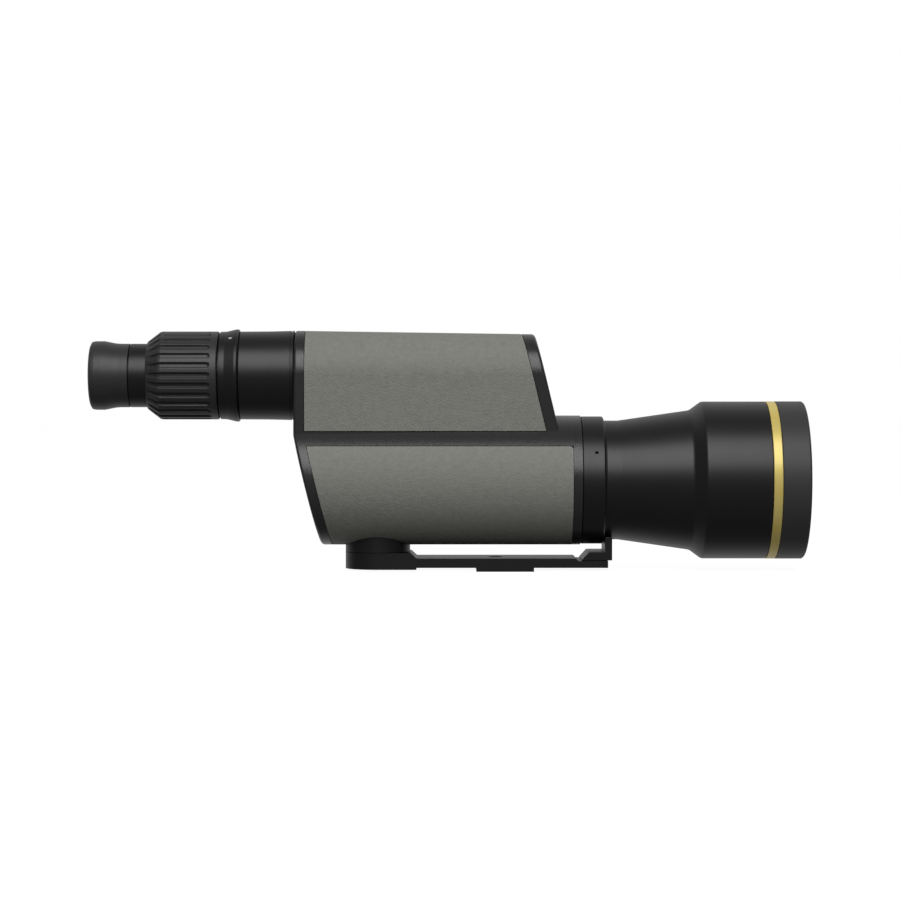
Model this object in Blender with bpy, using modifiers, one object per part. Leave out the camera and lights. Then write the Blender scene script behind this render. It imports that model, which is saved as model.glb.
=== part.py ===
"""Spotting scope with a folded light path.

Light enters the objective barrel at +X, meets a tilted mirror at the rear of the lower tube, crosses to a
parallel mirror at the front of the upper arch, and leaves rearward along the raised eyepiece axis.
The origin is the centre of the tripod pad's bottom face. +X points at the view, +Z is up.
"""

import math

import bmesh
import bpy
from mathutils import Matrix, Vector

MM = 0.001

# Driving dimensions
OBJECTIVE_Z = 39.84 * MM
EYEPIECE_Z = 86.16 * MM
SLANT = math.radians(13.6)
GAP = 0.3 * MM

# Body casting
BODY_RADIUS = 28.6 * MM
BODY_REAR_X = -92.7 * MM
BODY_FRONT_X = 33.3 * MM
SLANT_START_Z = 60.0 * MM
ARCH_RADIUS_REAR = 19.8 * MM
ARCH_RADIUS_FRONT = 18.1 * MM
ARCH_END_X = 26.0 * MM
FRONT_WALL_X = 17.6 * MM
REAR_WALL_X = BODY_REAR_X + math.tan(SLANT) * (SLANT_START_Z - OBJECTIVE_Z)
WALL = 6.2 * MM
ARMOR = 1.0 * MM
ARMOR_BED = ARMOR + GAP
VOID_INSET = 3.4 * MM
REAR_FACE_WALL = 4.2 * MM
BEZEL = 4.8 * MM
FRONT_BEZEL = 5.5 * MM
COVER_THICKNESS = 2.2 * MM
COVER_RECESS = 2.5 * MM
COVER_SCREW_HOLE = 0.9 * MM
COVER_HEAD_HOLE = 1.5 * MM
MIRROR_THICKNESS = 3.0 * MM
CUP_LIP = 1.8 * MM
LOWER_ARMOR_FRONT_X = 29.3 * MM
UPPER_ARMOR_BOTTOM_Z = 61.8 * MM
LOWER_ARMOR_TOP_Z = 55.3 * MM

# Objective end
BARREL_RADIUS = 26.35 * MM
SPIGOT_RADIUS = 26.0 * MM
SPIGOT_REAR_X = 26.6 * MM
BELL_RADIUS = 34.8 * MM
HOOD_FRONT_X = 132.0 * MM
HOOD_REAR_X = 119.6 * MM
RING_X = (115.6 * MM, 119.3 * MM)
RING_SEAT_X = (115.3 * MM, 119.7 * MM)
COLLAR_X = (33.7 * MM, 43.5 * MM)
COLLAR_SCREW_X = 39.5 * MM
COLLAR_SCREW_ANGLE = math.radians(26.6)
RING_SEAT_RADIUS = 34.0 * MM
HOOD_INNER_RADIUS = 34.4 * MM
OBJECTIVE_GLASS_RADIUS = 31.3 * MM

# Eyepiece end
TUBE_BORE = 15.3 * MM
TUBE_REAR_BORE = 14.15 * MM
TUBE_SPIGOT_RADIUS = 16.6 * MM
TUBE_FRONT_X = -88.8 * MM
CAM_RADIUS = 15.0 * MM
GUIDE_RADIUS = 14.0 * MM
CELL_RADIUS = 12.9 * MM
OCULAR_RADIUS = 13.85 * MM
OCULAR_NOSE_RADIUS = 14.05 * MM
GRIP_RADIUS = 19.46 * MM
GRIP_GROOVES = 27
POWER_SWEEP = math.radians(150.0)
POWER_SCREW_X = -121.5 * MM
POWER_SCREW_HOLE = 1.8 * MM
DOT_X, DOT_RADIUS, DOT_ANGLE = -120.6 * MM, 0.75 * MM, math.radians(124)
FRONT_CELL_X, FRONT_CELL_TRAVEL = -95.5 * MM, -9.0 * MM
REAR_CELL_X, REAR_CELL_TRAVEL = -116.0 * MM, -4.0 * MM
PIN_RADIUS = 0.9 * MM
EYECUP_BORE = 13.05 * MM

# Foot
FOOT_WIDTH = 28.6 * MM
FOOT_END_X = 45.2 * MM
BOSS_X = -56.15 * MM
BOSS_RADIUS = FOOT_WIDTH / 2
BOSS_SEAM_Z = 8.1 * MM
PAD_HALF = 12.63 * MM
TRIPOD_HOLE_X = -4.0 * MM
TRIPOD_HOLE_RADIUS = 3.175 * MM
FOOT_SCREW_HOLE = 3.0 * MM
SADDLE_BORE = 27.5 * MM
SADDLE_SCREW_HOLE = 1.5 * MM

# Facets round a full turn
BIG, MID, LENS, SMALL = 40, 28, 20, 8

FORWARD, UP = Vector((1, 0, 0)), Vector((0, 0, 1))
OBJECTIVE_AXIS = Vector((0, 0, OBJECTIVE_Z))
EYEPIECE_AXIS = Vector((0, 0, EYEPIECE_Z))
WALL_NORMAL = Vector((math.cos(SLANT), 0, math.sin(SLANT)))
REAR_POINT = OBJECTIVE_AXIS + FORWARD * REAR_WALL_X
FRONT_POINT = EYEPIECE_AXIS + FORWARD * FRONT_WALL_X

MIRROR_WALLS = (
    {
        "name": "rear",
        "point": REAR_POINT,
        "outward": -WALL_NORMAL,
        "cover_radius": 23.2 * MM,
        "carrier_radius": 19.3 * MM,
        "mirror_radius": 18.0 * MM,
    },
    {
        "name": "front",
        "point": FRONT_POINT,
        "outward": WALL_NORMAL,
        "cover_radius": 15.4 * MM,
        "carrier_radius": 11.4 * MM,
        "mirror_radius": 10.4 * MM,
    },
)

FINISHES = {
    "black_anodised": ((0.020, 0.020, 0.021), 0.34, 0.6),
    "black_texture": ((0.030, 0.030, 0.031), 0.55, 0.0),
    "grey_armor": ((0.150, 0.155, 0.140), 0.60, 0.0),
    "rubber": ((0.035, 0.035, 0.035), 0.70, 0.0),
    "gold": ((0.83, 0.62, 0.22), 0.25, 1.0),
    "glass": ((0.55, 0.62, 0.66), 0.05, 0.0),
    "mirror": ((0.85, 0.87, 0.88), 0.04, 1.0),
    "steel": ((0.30, 0.30, 0.31), 0.30, 1.0),
    "aluminium": ((0.58, 0.59, 0.60), 0.35, 1.0),
    "brass": ((0.60, 0.45, 0.20), 0.35, 1.0),
    "white_enamel": ((0.85, 0.85, 0.82), 0.45, 0.0),
}


# ---------------------------------------------------------------- scene helpers


def clear_scene():
    for obj in list(bpy.data.objects):
        bpy.data.objects.remove(obj, do_unlink=True)


def new_collection(name):
    collection = bpy.data.collections.new(name)
    bpy.context.scene.collection.children.link(collection)
    return collection


def finish_material(name):
    """The Principled material of that name, made on first use."""
    if name in bpy.data.materials:
        return bpy.data.materials[name]
    colour, roughness, metallic = FINISHES[name]
    material = bpy.data.materials.new(name)
    material.use_nodes = True
    shader = material.node_tree.nodes["Principled BSDF"]
    shader.inputs["Base Color"].default_value = (*colour, 1.0)
    shader.inputs["Roughness"].default_value = roughness
    shader.inputs["Metallic"].default_value = metallic
    material.diffuse_color = (*colour, 1.0)
    return material


def add_object(name, mesh, finish):
    """Links a mesh as a part, or as a hidden cutter where finish is None."""
    obj = bpy.data.objects.new(name, mesh)
    if finish is None:
        CUTTERS.objects.link(obj)
        obj.hide_render = True
        obj.display_type = "WIRE"
    else:
        SCOPE.objects.link(obj)
        mesh.materials.append(finish_material(finish))
    return obj


def aim(obj, at, along):
    """Puts the object's origin at a point and its local Z along a direction."""
    obj.location = at
    obj.rotation_mode = "QUATERNION"
    obj.rotation_quaternion = UP.rotation_difference(along)


def boolean(obj, other, operation="DIFFERENCE"):
    modifier = obj.modifiers.new(operation.title(), "BOOLEAN")
    modifier.operation = operation
    modifier.object = other
    modifier.solver = "EXACT"


# ---------------------------------------------------------------- shape helpers


def turned(name, outer, inner=(), at=EYEPIECE_AXIS, along=FORWARD, steps=MID, finish="black_anodised"):
    """A turned piece. Stations are (distance along the axis, radius), both lists from low to high."""
    stations = list(reversed(outer)) + list(inner)
    points = [(radius, 0.0, height) for height, radius in stations]
    edges = [(i, i + 1) for i in range(len(points) - 1)]
    if inner:
        edges.append((len(points) - 1, 0))
    mesh = bpy.data.meshes.new(name)
    mesh.from_pydata(points, edges, [])
    obj = add_object(name, mesh, finish)
    aim(obj, at, along)
    screw = obj.modifiers.new("Turn", "SCREW")
    screw.steps = screw.render_steps = steps
    screw.use_merge_vertices = True
    screw.merge_threshold = 0.00001
    return obj


def plain_ring(name, low, high, inner_radius, outer_radius, **options):
    return turned(
        name,
        [(low, outer_radius), (high, outer_radius)],
        [(low, inner_radius), (high, inner_radius)],
        **options,
    )


def rod(name, low, high, radius, at=EYEPIECE_AXIS, along=FORWARD, steps=MID, finish=None):
    """A plain round bar along its axis, a cutter unless it has a finish."""
    mesh = bpy.data.meshes.new(name)
    bm = bmesh.new()
    bmesh.ops.create_cone(
        bm,
        cap_ends=True,
        segments=steps,
        radius1=radius,
        radius2=radius,
        depth=high - low,
        matrix=Matrix.Translation((0, 0, (low + high) / 2)),
    )
    bm.to_mesh(mesh)
    bm.free()
    obj = add_object(name, mesh, finish)
    aim(obj, at, along)
    return obj


def block(name, low, high):
    """A box-shaped cutter between two opposite corners."""
    mesh = bpy.data.meshes.new(name)
    bm = bmesh.new()
    size = Vector(high) - Vector(low)
    centre = (Vector(high) + Vector(low)) / 2
    place = Matrix.Translation(centre) @ Matrix.Diagonal((*size, 1.0))
    bmesh.ops.create_cube(bm, size=1.0, matrix=place)
    bm.to_mesh(mesh)
    bm.free()
    return add_object(name, mesh, None)


def slab(name, at, thickness, toward):
    """A large slanted cutter parallel to the mirror walls, from a point out to one side by its thickness."""
    span = 150 * MM
    mesh = bpy.data.meshes.new(name)
    bm = bmesh.new()
    bmesh.ops.create_cube(bm, size=1.0, matrix=Matrix.Diagonal((span, span, thickness, 1.0)))
    bm.to_mesh(mesh)
    bm.free()
    obj = add_object(name, mesh, None)
    aim(obj, Vector(at) + WALL_NORMAL * (toward * thickness / 2), WALL_NORMAL)
    return obj


def plate(name, outline, low, high, finish, upright=False):
    """A flat plate from a filled 2D curve: (x, y) points between two heights, or (x, z) points across Y."""
    curve = bpy.data.curves.new(name + "_outline", "CURVE")
    curve.dimensions = "2D"
    curve.fill_mode = "BOTH"
    curve.extrude = (high - low) / 2
    spline = curve.splines.new("POLY")
    spline.points.add(len(outline) - 1)
    for point, (x, v) in zip(spline.points, outline):
        point.co = (x, v, 0, 1)
    spline.use_cyclic_u = True
    guide = bpy.data.objects.new(name + "_outline", curve)
    SCOPE.objects.link(guide)
    middle = (low + high) / 2
    guide.rotation_euler.x = math.pi / 2 if upright else 0
    guide.location = (0, middle, 0) if upright else (0, 0, middle)
    bpy.context.view_layer.update()
    graph = bpy.context.evaluated_depsgraph_get()
    mesh = bpy.data.meshes.new_from_object(guide.evaluated_get(graph))
    mesh.transform(guide.matrix_world)
    bpy.data.objects.remove(guide)
    bm = bmesh.new()
    bm.from_mesh(mesh)
    bmesh.ops.remove_doubles(bm, verts=bm.verts, dist=0.00001)
    bmesh.ops.recalc_face_normals(bm, faces=bm.faces)
    bm.to_mesh(mesh)
    bm.free()
    return add_object(name, mesh, finish)


def arch_section(radius, bottom_z, steps=20):
    """(y, z) points up one flat side, over a half round on the eyepiece axis, and down the other side."""
    over = [math.pi * (1 - i / steps) for i in range(steps + 1)]
    crown = [(radius * math.cos(a), EYEPIECE_Z + radius * math.sin(a)) for a in over]
    return [(-radius, bottom_z), *crown, (radius, bottom_z)]


def arch_radius(x):
    """The arch narrows evenly from its rear face to its front end."""
    share = (x - BODY_REAR_X) / (ARCH_END_X - BODY_REAR_X)
    return ARCH_RADIUS_REAR + share * (ARCH_RADIUS_FRONT - ARCH_RADIUS_REAR)


def arch_loft(name, x_rear, x_front, offset, bottom_z, finish=None):
    """The tapering arch between two stations, offset from the casting's skin."""
    mesh = bpy.data.meshes.new(name)
    bm = bmesh.new()
    rear_radius, front_radius = arch_radius(x_rear) + offset, arch_radius(x_front) + offset
    rear = bm.faces.new([bm.verts.new((x_rear, y, z)) for y, z in arch_section(rear_radius, bottom_z)])
    made = bmesh.ops.extrude_face_region(bm, geom=[rear])["geom"]
    front = [v for v in made if isinstance(v, bmesh.types.BMVert)]
    bmesh.ops.translate(bm, verts=front, vec=(x_front - x_rear, 0, 0))
    share = front_radius / rear_radius
    just_above_bottom = bottom_z + 0.01 * MM
    for vert in front:
        vert.co.y *= share
        if vert.co.z > just_above_bottom:
            vert.co.z = EYEPIECE_Z + share * (vert.co.z - EYEPIECE_Z)
    bmesh.ops.recalc_face_normals(bm, faces=bm.faces)
    bm.to_mesh(mesh)
    bm.free()
    return add_object(name, mesh, finish)


def swept_slot(name, x_start, travel, angle_start, sweep, half_width, inside, outside):
    """A cutter for a slot in a tube wall: a small rectangle swept about the eyepiece axis as it advances."""
    steps = 14
    mesh = bpy.data.meshes.new(name)
    bm = bmesh.new()
    corners = ((-half_width, inside), (half_width, inside), (half_width, outside), (-half_width, outside))
    places = [around(angle_start, radius) + FORWARD * (x_start + dx) for dx, radius in corners]
    section = bm.faces.new([bm.verts.new(place) for place in places])
    bmesh.ops.spin(
        bm,
        geom=[section, *section.verts, *section.edges],
        cent=(0, 0, 0),
        axis=FORWARD,
        dvec=FORWARD * (travel / steps),
        angle=sweep,
        steps=steps,
        use_duplicate=False,
    )
    bmesh.ops.recalc_face_normals(bm, faces=bm.faces)
    bm.to_mesh(mesh)
    bm.free()
    slot = add_object(name, mesh, None)
    slot.location = EYEPIECE_AXIS
    return slot


def lens(name, low, high, radius, low_bulge, high_bulge, at=EYEPIECE_AXIS):
    """A lens between two edge planes. A bulge is that face's sag at its centre, negative where hollow."""
    rows = 3
    low_face = [(low - low_bulge * (1 - (i / rows) ** 2), radius * i / rows) for i in range(rows + 1)]
    high_face = [(high + high_bulge * (1 - (i / rows) ** 2), radius * i / rows) for i in range(rows, -1, -1)]
    return turned(name, low_face + high_face, at=at, steps=LENS, finish="glass")


def cap_screw(name, at, along, head_radius, head_height, shank_radius, length):
    """A socket screw whose head's outer face is at a point, pointing along its shank."""
    socket_radius, socket_depth = 0.5 * head_radius, 0.6 * head_height
    outer = [
        (socket_depth, 0),
        (socket_depth, socket_radius),
        (0, socket_radius),
        (0, head_radius),
        (head_height, head_radius),
        (head_height, shank_radius),
        (length, shank_radius),
        (length, 0),
    ]
    return turned(name, outer, at=at, along=along, steps=SMALL, finish="steel")


def around(angle, distance):
    """A point that far from an optical axis, at an angle from +Y towards +Z."""
    return Vector((0, distance * math.cos(angle), distance * math.sin(angle)))


# ---------------------------------------------------------------- body casting


def lower_skin(name, front_x, inset, thickness, top_z, bezel, finish):
    """A trough round the lower tube: a ring cut off at its top edges and along the slanted rear wall."""
    outer = BODY_RADIUS - inset
    ring = plain_ring(
        name, -110 * MM, front_x, outer - thickness, outer, at=OBJECTIVE_AXIS, steps=BIG, finish=finish
    )
    boolean(ring, block(name + "_top", (-120 * MM, -50 * MM, top_z), (60 * MM, 50 * MM, 90 * MM)))
    boolean(ring, slab(name + "_end", REAR_POINT + WALL_NORMAL * bezel, 60 * MM, -1))
    return ring


def upper_skin(name, rear_x, inset, thickness, bottom_z, bezel, finish):
    """A saddle over the arch: one arch less a smaller one, cut off below and along the slanted front wall."""
    skin = arch_loft(name, rear_x, ARCH_END_X, -inset, bottom_z, finish)
    beyond = 5 * MM
    core = arch_loft(
        name + "_core", rear_x - beyond, ARCH_END_X + beyond, -inset - thickness, bottom_z - beyond
    )
    boolean(skin, core)
    boolean(skin, slab(name + "_end", FRONT_POINT - WALL_NORMAL * bezel, 60 * MM, 1))
    return skin


def build_housing():
    """The one-piece body: a round lower tube and a tapering arch, hollow, with both slanted walls open."""
    housing = rod(
        "body_housing",
        BODY_REAR_X,
        BODY_FRONT_X,
        BODY_RADIUS,
        at=OBJECTIVE_AXIS,
        steps=BIG,
        finish="black_texture",
    )
    arch = arch_loft("arch_solid", BODY_REAR_X + 0.05 * MM, ARCH_END_X, 0, 50 * MM)
    boolean(arch, slab("arch_front_cut", FRONT_POINT, 40 * MM, 1))
    boolean(housing, arch, "UNION")
    boolean(housing, slab("rear_slant_cut", REAR_POINT, 40 * MM, -1))

    void_radius = BODY_RADIUS - VOID_INSET
    place = {"at": OBJECTIVE_AXIS, "steps": BIG}
    lower_void = rod("lower_void", -110 * MM, BODY_FRONT_X + 5 * MM, void_radius, **place)
    boolean(lower_void, slab("lower_void_end", REAR_POINT + WALL_NORMAL * WALL, 60 * MM, -1))
    upper_void = arch_loft("upper_void", BODY_REAR_X + REAR_FACE_WALL, ARCH_END_X, -VOID_INSET, 48 * MM)
    boolean(upper_void, slab("upper_void_end", FRONT_POINT - WALL_NORMAL * WALL, 60 * MM, 1))
    boolean(lower_void, upper_void, "UNION")
    boolean(housing, lower_void)

    neck = rod("neck_bore", 26.2 * MM, 40 * MM, 26.3 * MM, **place)
    tube_bore = rod("tube_bore", -100 * MM, -85 * MM, 16.9 * MM)
    boolean(housing, neck)
    boolean(housing, tube_bore)
    for wall in MIRROR_WALLS:
        name = wall["name"]
        place = {"at": wall["point"], "along": wall["outward"]}
        boolean(housing, rod(name + "_recess", -COVER_RECESS, 5 * MM, wall["cover_radius"] + GAP, **place))
        boolean(housing, rod(name + "_opening", -12 * MM, 0, wall["carrier_radius"] + GAP, **place))
        for number, at in enumerate(cover_screw_points(wall), 1):
            place = {"at": at, "along": wall["outward"], "steps": SMALL}
            boolean(housing, rod(f"{name}_housing_hole_{number}", -6 * MM, 2 * MM, COVER_SCREW_HOLE, **place))

    lower_bed = lower_skin(
        "lower_bed",
        LOWER_ARMOR_FRONT_X + GAP,
        -4 * MM,
        ARMOR_BED + 4 * MM,
        LOWER_ARMOR_TOP_Z + GAP,
        BEZEL - GAP,
        None,
    )
    upper_bed = upper_skin(
        "upper_bed",
        BODY_REAR_X + BEZEL - GAP,
        -4 * MM,
        ARMOR_BED + 4 * MM,
        UPPER_ARMOR_BOTTOM_Z - GAP,
        FRONT_BEZEL - GAP,
        None,
    )
    boolean(housing, lower_bed)
    boolean(housing, upper_bed)
    boolean(
        housing,
        rod("foot_screw_hole", 5 * MM, 20 * MM, FOOT_SCREW_HOLE, at=(BOSS_X, 0, 0), along=UP, steps=12),
    )


def build_armor():
    """Grey inlays: a saddle over the arch, and a trough round the lower tube with a hole for the boss."""
    lower = lower_skin("lower_armor", LOWER_ARMOR_FRONT_X, 0, ARMOR, LOWER_ARMOR_TOP_Z, BEZEL, "grey_armor")
    boolean(
        lower,
        rod("boss_hole", 0, 30 * MM, BOSS_RADIUS + GAP, at=(BOSS_X, 0, 0), along=UP, steps=BIG),
    )
    upper_skin("upper_armor", BODY_REAR_X + BEZEL, 0, ARMOR, UPPER_ARMOR_BOTTOM_Z, FRONT_BEZEL, "grey_armor")


def cover_screw_points(wall):
    """Where the cover screws' axes meet the wall's outer plane."""
    ring = (wall["cover_radius"] + wall["carrier_radius"]) / 2
    across = Vector((0, 1, 0))
    up_slope = WALL_NORMAL.cross(across)
    angles = [math.radians(45 + 90 * k) for k in range(4)]
    return [wall["point"] + ring * (math.cos(a) * across + math.sin(a) * up_slope) for a in angles]


def build_mirror_wall(wall):
    """A mirror in its cup on the inside of a round cover, and the cover's screws."""
    name, point, outward = wall["name"], wall["point"], wall["outward"]
    span = (EYEPIECE_Z - OBJECTIVE_Z) / math.tan(2 * SLANT)
    mirror_face = -(FRONT_WALL_X - REAR_WALL_X - span) / 2 * math.cos(SLANT)
    mirror_back = mirror_face + MIRROR_THICKNESS
    place = {"at": point, "along": outward, "finish": "black_anodised"}
    cover = rod(name + "_cover", -COVER_THICKNESS, 0, wall["cover_radius"], **place)
    for number, at in enumerate(cover_screw_points(wall), 1):
        place = {"at": at, "along": outward, "steps": SMALL}
        boolean(cover, rod(f"{name}_cover_hole_{number}", -4 * MM, 1 * MM, COVER_SCREW_HOLE, **place))
        boolean(cover, rod(f"{name}_cover_head_{number}", -1.3 * MM, 1 * MM, COVER_HEAD_HOLE, **place))
        screw_at = at - outward * 0.1 * MM
        cap_screw(f"{name}_cover_screw_{number}", screw_at, -outward, 1.2 * MM, 0.9 * MM, 0.6 * MM, 4.8 * MM)
    cup_radius = wall["mirror_radius"] + GAP
    cup = [
        (mirror_back + GAP, 0),
        (mirror_back + GAP, cup_radius),
        (mirror_back - CUP_LIP, cup_radius),
        (mirror_back - CUP_LIP, wall["carrier_radius"]),
        (-COVER_RECESS, wall["carrier_radius"]),
        (-COVER_RECESS, 0),
    ]
    turned(name + "_mirror_carrier", cup, at=point, along=outward, finish="aluminium")
    place = {"at": point, "along": outward, "finish": "mirror"}
    rod(name + "_mirror", mirror_face, mirror_back, wall["mirror_radius"], **place)


# ---------------------------------------------------------------- objective end


def build_objective():
    barrel_outer = [
        (SPIGOT_REAR_X, SPIGOT_RADIUS),
        (43.8 * MM, SPIGOT_RADIUS),
        (43.9 * MM, BARREL_RADIUS),
        (49.2 * MM, BARREL_RADIUS),
        (53.1 * MM, 27.0 * MM),
        (81.7 * MM, 30.95 * MM),
        (87.0 * MM, BELL_RADIUS),
        (RING_SEAT_X[0], BELL_RADIUS),
        (RING_SEAT_X[0], RING_SEAT_RADIUS),
        (RING_SEAT_X[1], RING_SEAT_RADIUS),
        (RING_SEAT_X[1], 32.8 * MM),
        (124.0 * MM, 32.8 * MM),
    ]
    barrel_inner = [
        (SPIGOT_REAR_X, 24.2 * MM),
        (45.0 * MM, 24.2 * MM),
        (81.0 * MM, 28.4 * MM),
        (98.0 * MM, 30.0 * MM),
        (98.0 * MM, 31.6 * MM),
        (124.0 * MM, 31.6 * MM),
    ]
    objective = {"at": OBJECTIVE_AXIS, "steps": BIG}
    turned("objective_barrel", barrel_outer, barrel_inner, **objective)

    collar_bore = 26.4 * MM
    collar = turned(
        "barrel_collar",
        [(COLLAR_X[0], 28.25 * MM), (42.9 * MM, 28.25 * MM), (COLLAR_X[1], 27.65 * MM)],
        [(COLLAR_X[0], collar_bore), (COLLAR_X[1], collar_bore)],
        **objective,
    )
    for number in range(3):
        angle = math.pi - COLLAR_SCREW_ANGLE + number * math.tau / 3
        at = OBJECTIVE_AXIS + FORWARD * COLLAR_SCREW_X
        outward = around(angle, 1)
        place = {"at": at, "along": outward, "steps": SMALL}
        boolean(collar, rod(f"collar_hole_{number}", 20 * MM, 30 * MM, 0.85 * MM, **place))
        screw_name = f"collar_set_screw_{number + 1}"
        rod(screw_name, collar_bore, 27.7 * MM, 0.55 * MM, finish="steel", **place)

    ring_radius = BELL_RADIUS + 0.05 * MM
    plain_ring("accent_ring", *RING_X, HOOD_INNER_RADIUS, ring_radius, finish="gold", **objective)
    hood_outer = [(HOOD_REAR_X, 34.88 * MM), (131.4 * MM, 34.88 * MM), (HOOD_FRONT_X, 34.3 * MM)]
    hood_inner = [
        (HOOD_REAR_X, HOOD_INNER_RADIUS),
        (120.0 * MM, 33.1 * MM),
        (124.3 * MM, 33.1 * MM),
        (124.3 * MM, 31.8 * MM),
        (HOOD_FRONT_X, 32.6 * MM),
    ]
    turned("hood_ring", hood_outer, hood_inner, finish="rubber", **objective)

    plain_ring("objective_baffle", 18 * MM, 19 * MM, 21.5 * MM, 24.5 * MM, **objective)
    glass_radius = OBJECTIVE_GLASS_RADIUS
    lens("objective_lens_rear", 98.6 * MM, 101.0 * MM, glass_radius, -1.6 * MM, -0.6 * MM, at=OBJECTIVE_AXIS)
    plain_ring("lens_spacer_rear", 101.3 * MM, 103.3 * MM, 30.3 * MM, glass_radius, **objective)
    lens("objective_lens_middle", 103.6 * MM, 105.8 * MM, glass_radius, 1.0 * MM, 1.2 * MM, at=OBJECTIVE_AXIS)
    plain_ring("lens_spacer_front", 106.1 * MM, 108.0 * MM, 30.3 * MM, glass_radius, **objective)
    lens("objective_lens_front", 108.3 * MM, 110.6 * MM, glass_radius, 1.0 * MM, 2.4 * MM, at=OBJECTIVE_AXIS)
    plain_ring("objective_retaining_ring", 110.9 * MM, 115.0 * MM, 30.0 * MM, glass_radius, **objective)


# ---------------------------------------------------------------- eyepiece end


def build_erector(name, x, travel):
    """A lens cell, its lens and its pin, then the cutters for the pin's guide slot and cam slot."""
    half = 3.0 * MM
    cell = turned(
        name + "_cell",
        [(x - half, CELL_RADIUS), (x + half, CELL_RADIUS)],
        [(x - half, 10.4 * MM), (x - 1.8 * MM, 10.4 * MM), (x - 1.8 * MM, 11.7 * MM), (x + half, 11.7 * MM)],
        finish="brass",
    )
    lens(name + "_lens", x - 1.4 * MM, x + 1.4 * MM, 11.4 * MM, 0.8 * MM, 1.2 * MM)
    at = EYEPIECE_AXIS + FORWARD * x
    slot_half = PIN_RADIUS + GAP
    boolean(cell, rod(name + "_pin_hole", 12.1 * MM, 20 * MM, slot_half, at=at, along=UP, steps=SMALL))
    rod(name + "_pin", 12.45 * MM, 14.8 * MM, PIN_RADIUS, at=at, along=UP, steps=SMALL, finish="steel")
    guide_slot = block(
        name + "_guide_slot",
        (min(x, x + travel) - slot_half, -slot_half, EYEPIECE_Z + 5 * MM),
        (max(x, x + travel) + slot_half, slot_half, EYEPIECE_Z + 20 * MM),
    )
    margin = math.radians(5.5)
    lead = travel * margin / POWER_SWEEP
    cam_slot = swept_slot(
        name + "_cam_slot",
        x - lead,
        travel + 2 * lead,
        math.pi / 2 + margin,
        -(POWER_SWEEP + 2 * margin),
        slot_half,
        GUIDE_RADIUS - 1 * MM,
        CAM_RADIUS + 1 * MM,
    )
    return guide_slot, cam_slot


def build_zoom():
    """The power ring, its drive screw, the cam sleeve and the two erector cells inside a fixed guide tube."""
    ring = turned(
        "power_ring",
        [
            (-125.6 * MM, 19.35 * MM),
            (-123.0 * MM, 19.4 * MM),
            (-118.7 * MM, 20.45 * MM),
            (-117.6 * MM, 20.45 * MM),
            (-117.2 * MM, 19.95 * MM),
        ],
        [(-125.6 * MM, 17.1 * MM), (-117.2 * MM, 17.1 * MM)],
    )
    cam = plain_ring("cam_sleeve", -125.0 * MM, -90.7 * MM, 14.3 * MM, CAM_RADIUS, finish="brass")
    guide = turned(
        "guide_tube",
        [
            (-125.2 * MM, GUIDE_RADIUS),
            (-90.3 * MM, GUIDE_RADIUS),
            (-90.3 * MM, CAM_RADIUS),
            (TUBE_FRONT_X, CAM_RADIUS),
        ],
        [(-125.2 * MM, 13.2 * MM), (TUBE_FRONT_X, 13.2 * MM)],
    )
    for name, x, travel in (
        ("front_erector", FRONT_CELL_X, FRONT_CELL_TRAVEL),
        ("rear_erector", REAR_CELL_X, REAR_CELL_TRAVEL),
    ):
        guide_slot, cam_slot = build_erector(name, x, travel)
        boolean(guide, guide_slot)
        boolean(cam, cam_slot)

    down = -UP
    at = EYEPIECE_AXIS + FORWARD * POWER_SCREW_X
    for target in (ring, cam):
        place = {"at": at, "along": down, "steps": 12}
        boolean(target, rod(target.name + "_screw_hole", 10 * MM, 25 * MM, POWER_SCREW_HOLE, **place))
    cap_screw("power_ring_screw", at + down * 19.2 * MM, UP, 1.5 * MM, 1.2 * MM, 1.2 * MM, 4.6 * MM)

    dot = {"at": EYEPIECE_AXIS + FORWARD * DOT_X, "along": around(DOT_ANGLE, 1), "steps": 12}
    boolean(ring, rod("index_dot_hole", 18.3 * MM, 22 * MM, DOT_RADIUS + GAP, **dot))
    rod("power_index_dot", 18.6 * MM, 19.85 * MM, DOT_RADIUS, finish="white_enamel", **dot)


def build_eyepiece_tube():
    """The fixed tube: rear sleeve for the focus ring, middle seat for the power ring, barrel, and spigot."""
    outer = [
        (-151.0 * MM, 15.3 * MM),
        (-126.0 * MM, 15.3 * MM),
        (-126.0 * MM, 16.8 * MM),
        (-116.9 * MM, 16.8 * MM),
        (-116.9 * MM, 19.2 * MM),
        (-116.6 * MM, 19.45 * MM),
        (-104.0 * MM, 19.5 * MM),
        (-93.0 * MM, 19.78 * MM),
        (-93.0 * MM, TUBE_SPIGOT_RADIUS),
        (TUBE_FRONT_X, TUBE_SPIGOT_RADIUS),
    ]
    inner = [
        (-151.0 * MM, TUBE_REAR_BORE),
        (-125.4 * MM, TUBE_REAR_BORE),
        (-125.4 * MM, TUBE_BORE),
        (TUBE_FRONT_X, TUBE_BORE),
    ]
    tube = turned("eyepiece_tube", outer, inner)
    margin = math.radians(7)
    slot = swept_slot(
        "power_slot",
        POWER_SCREW_X,
        0,
        -math.pi / 2 - margin,
        POWER_SWEEP + 2 * margin,
        POWER_SCREW_HOLE,
        14.6 * MM,
        18.0 * MM,
    )
    boolean(tube, slot)


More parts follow.
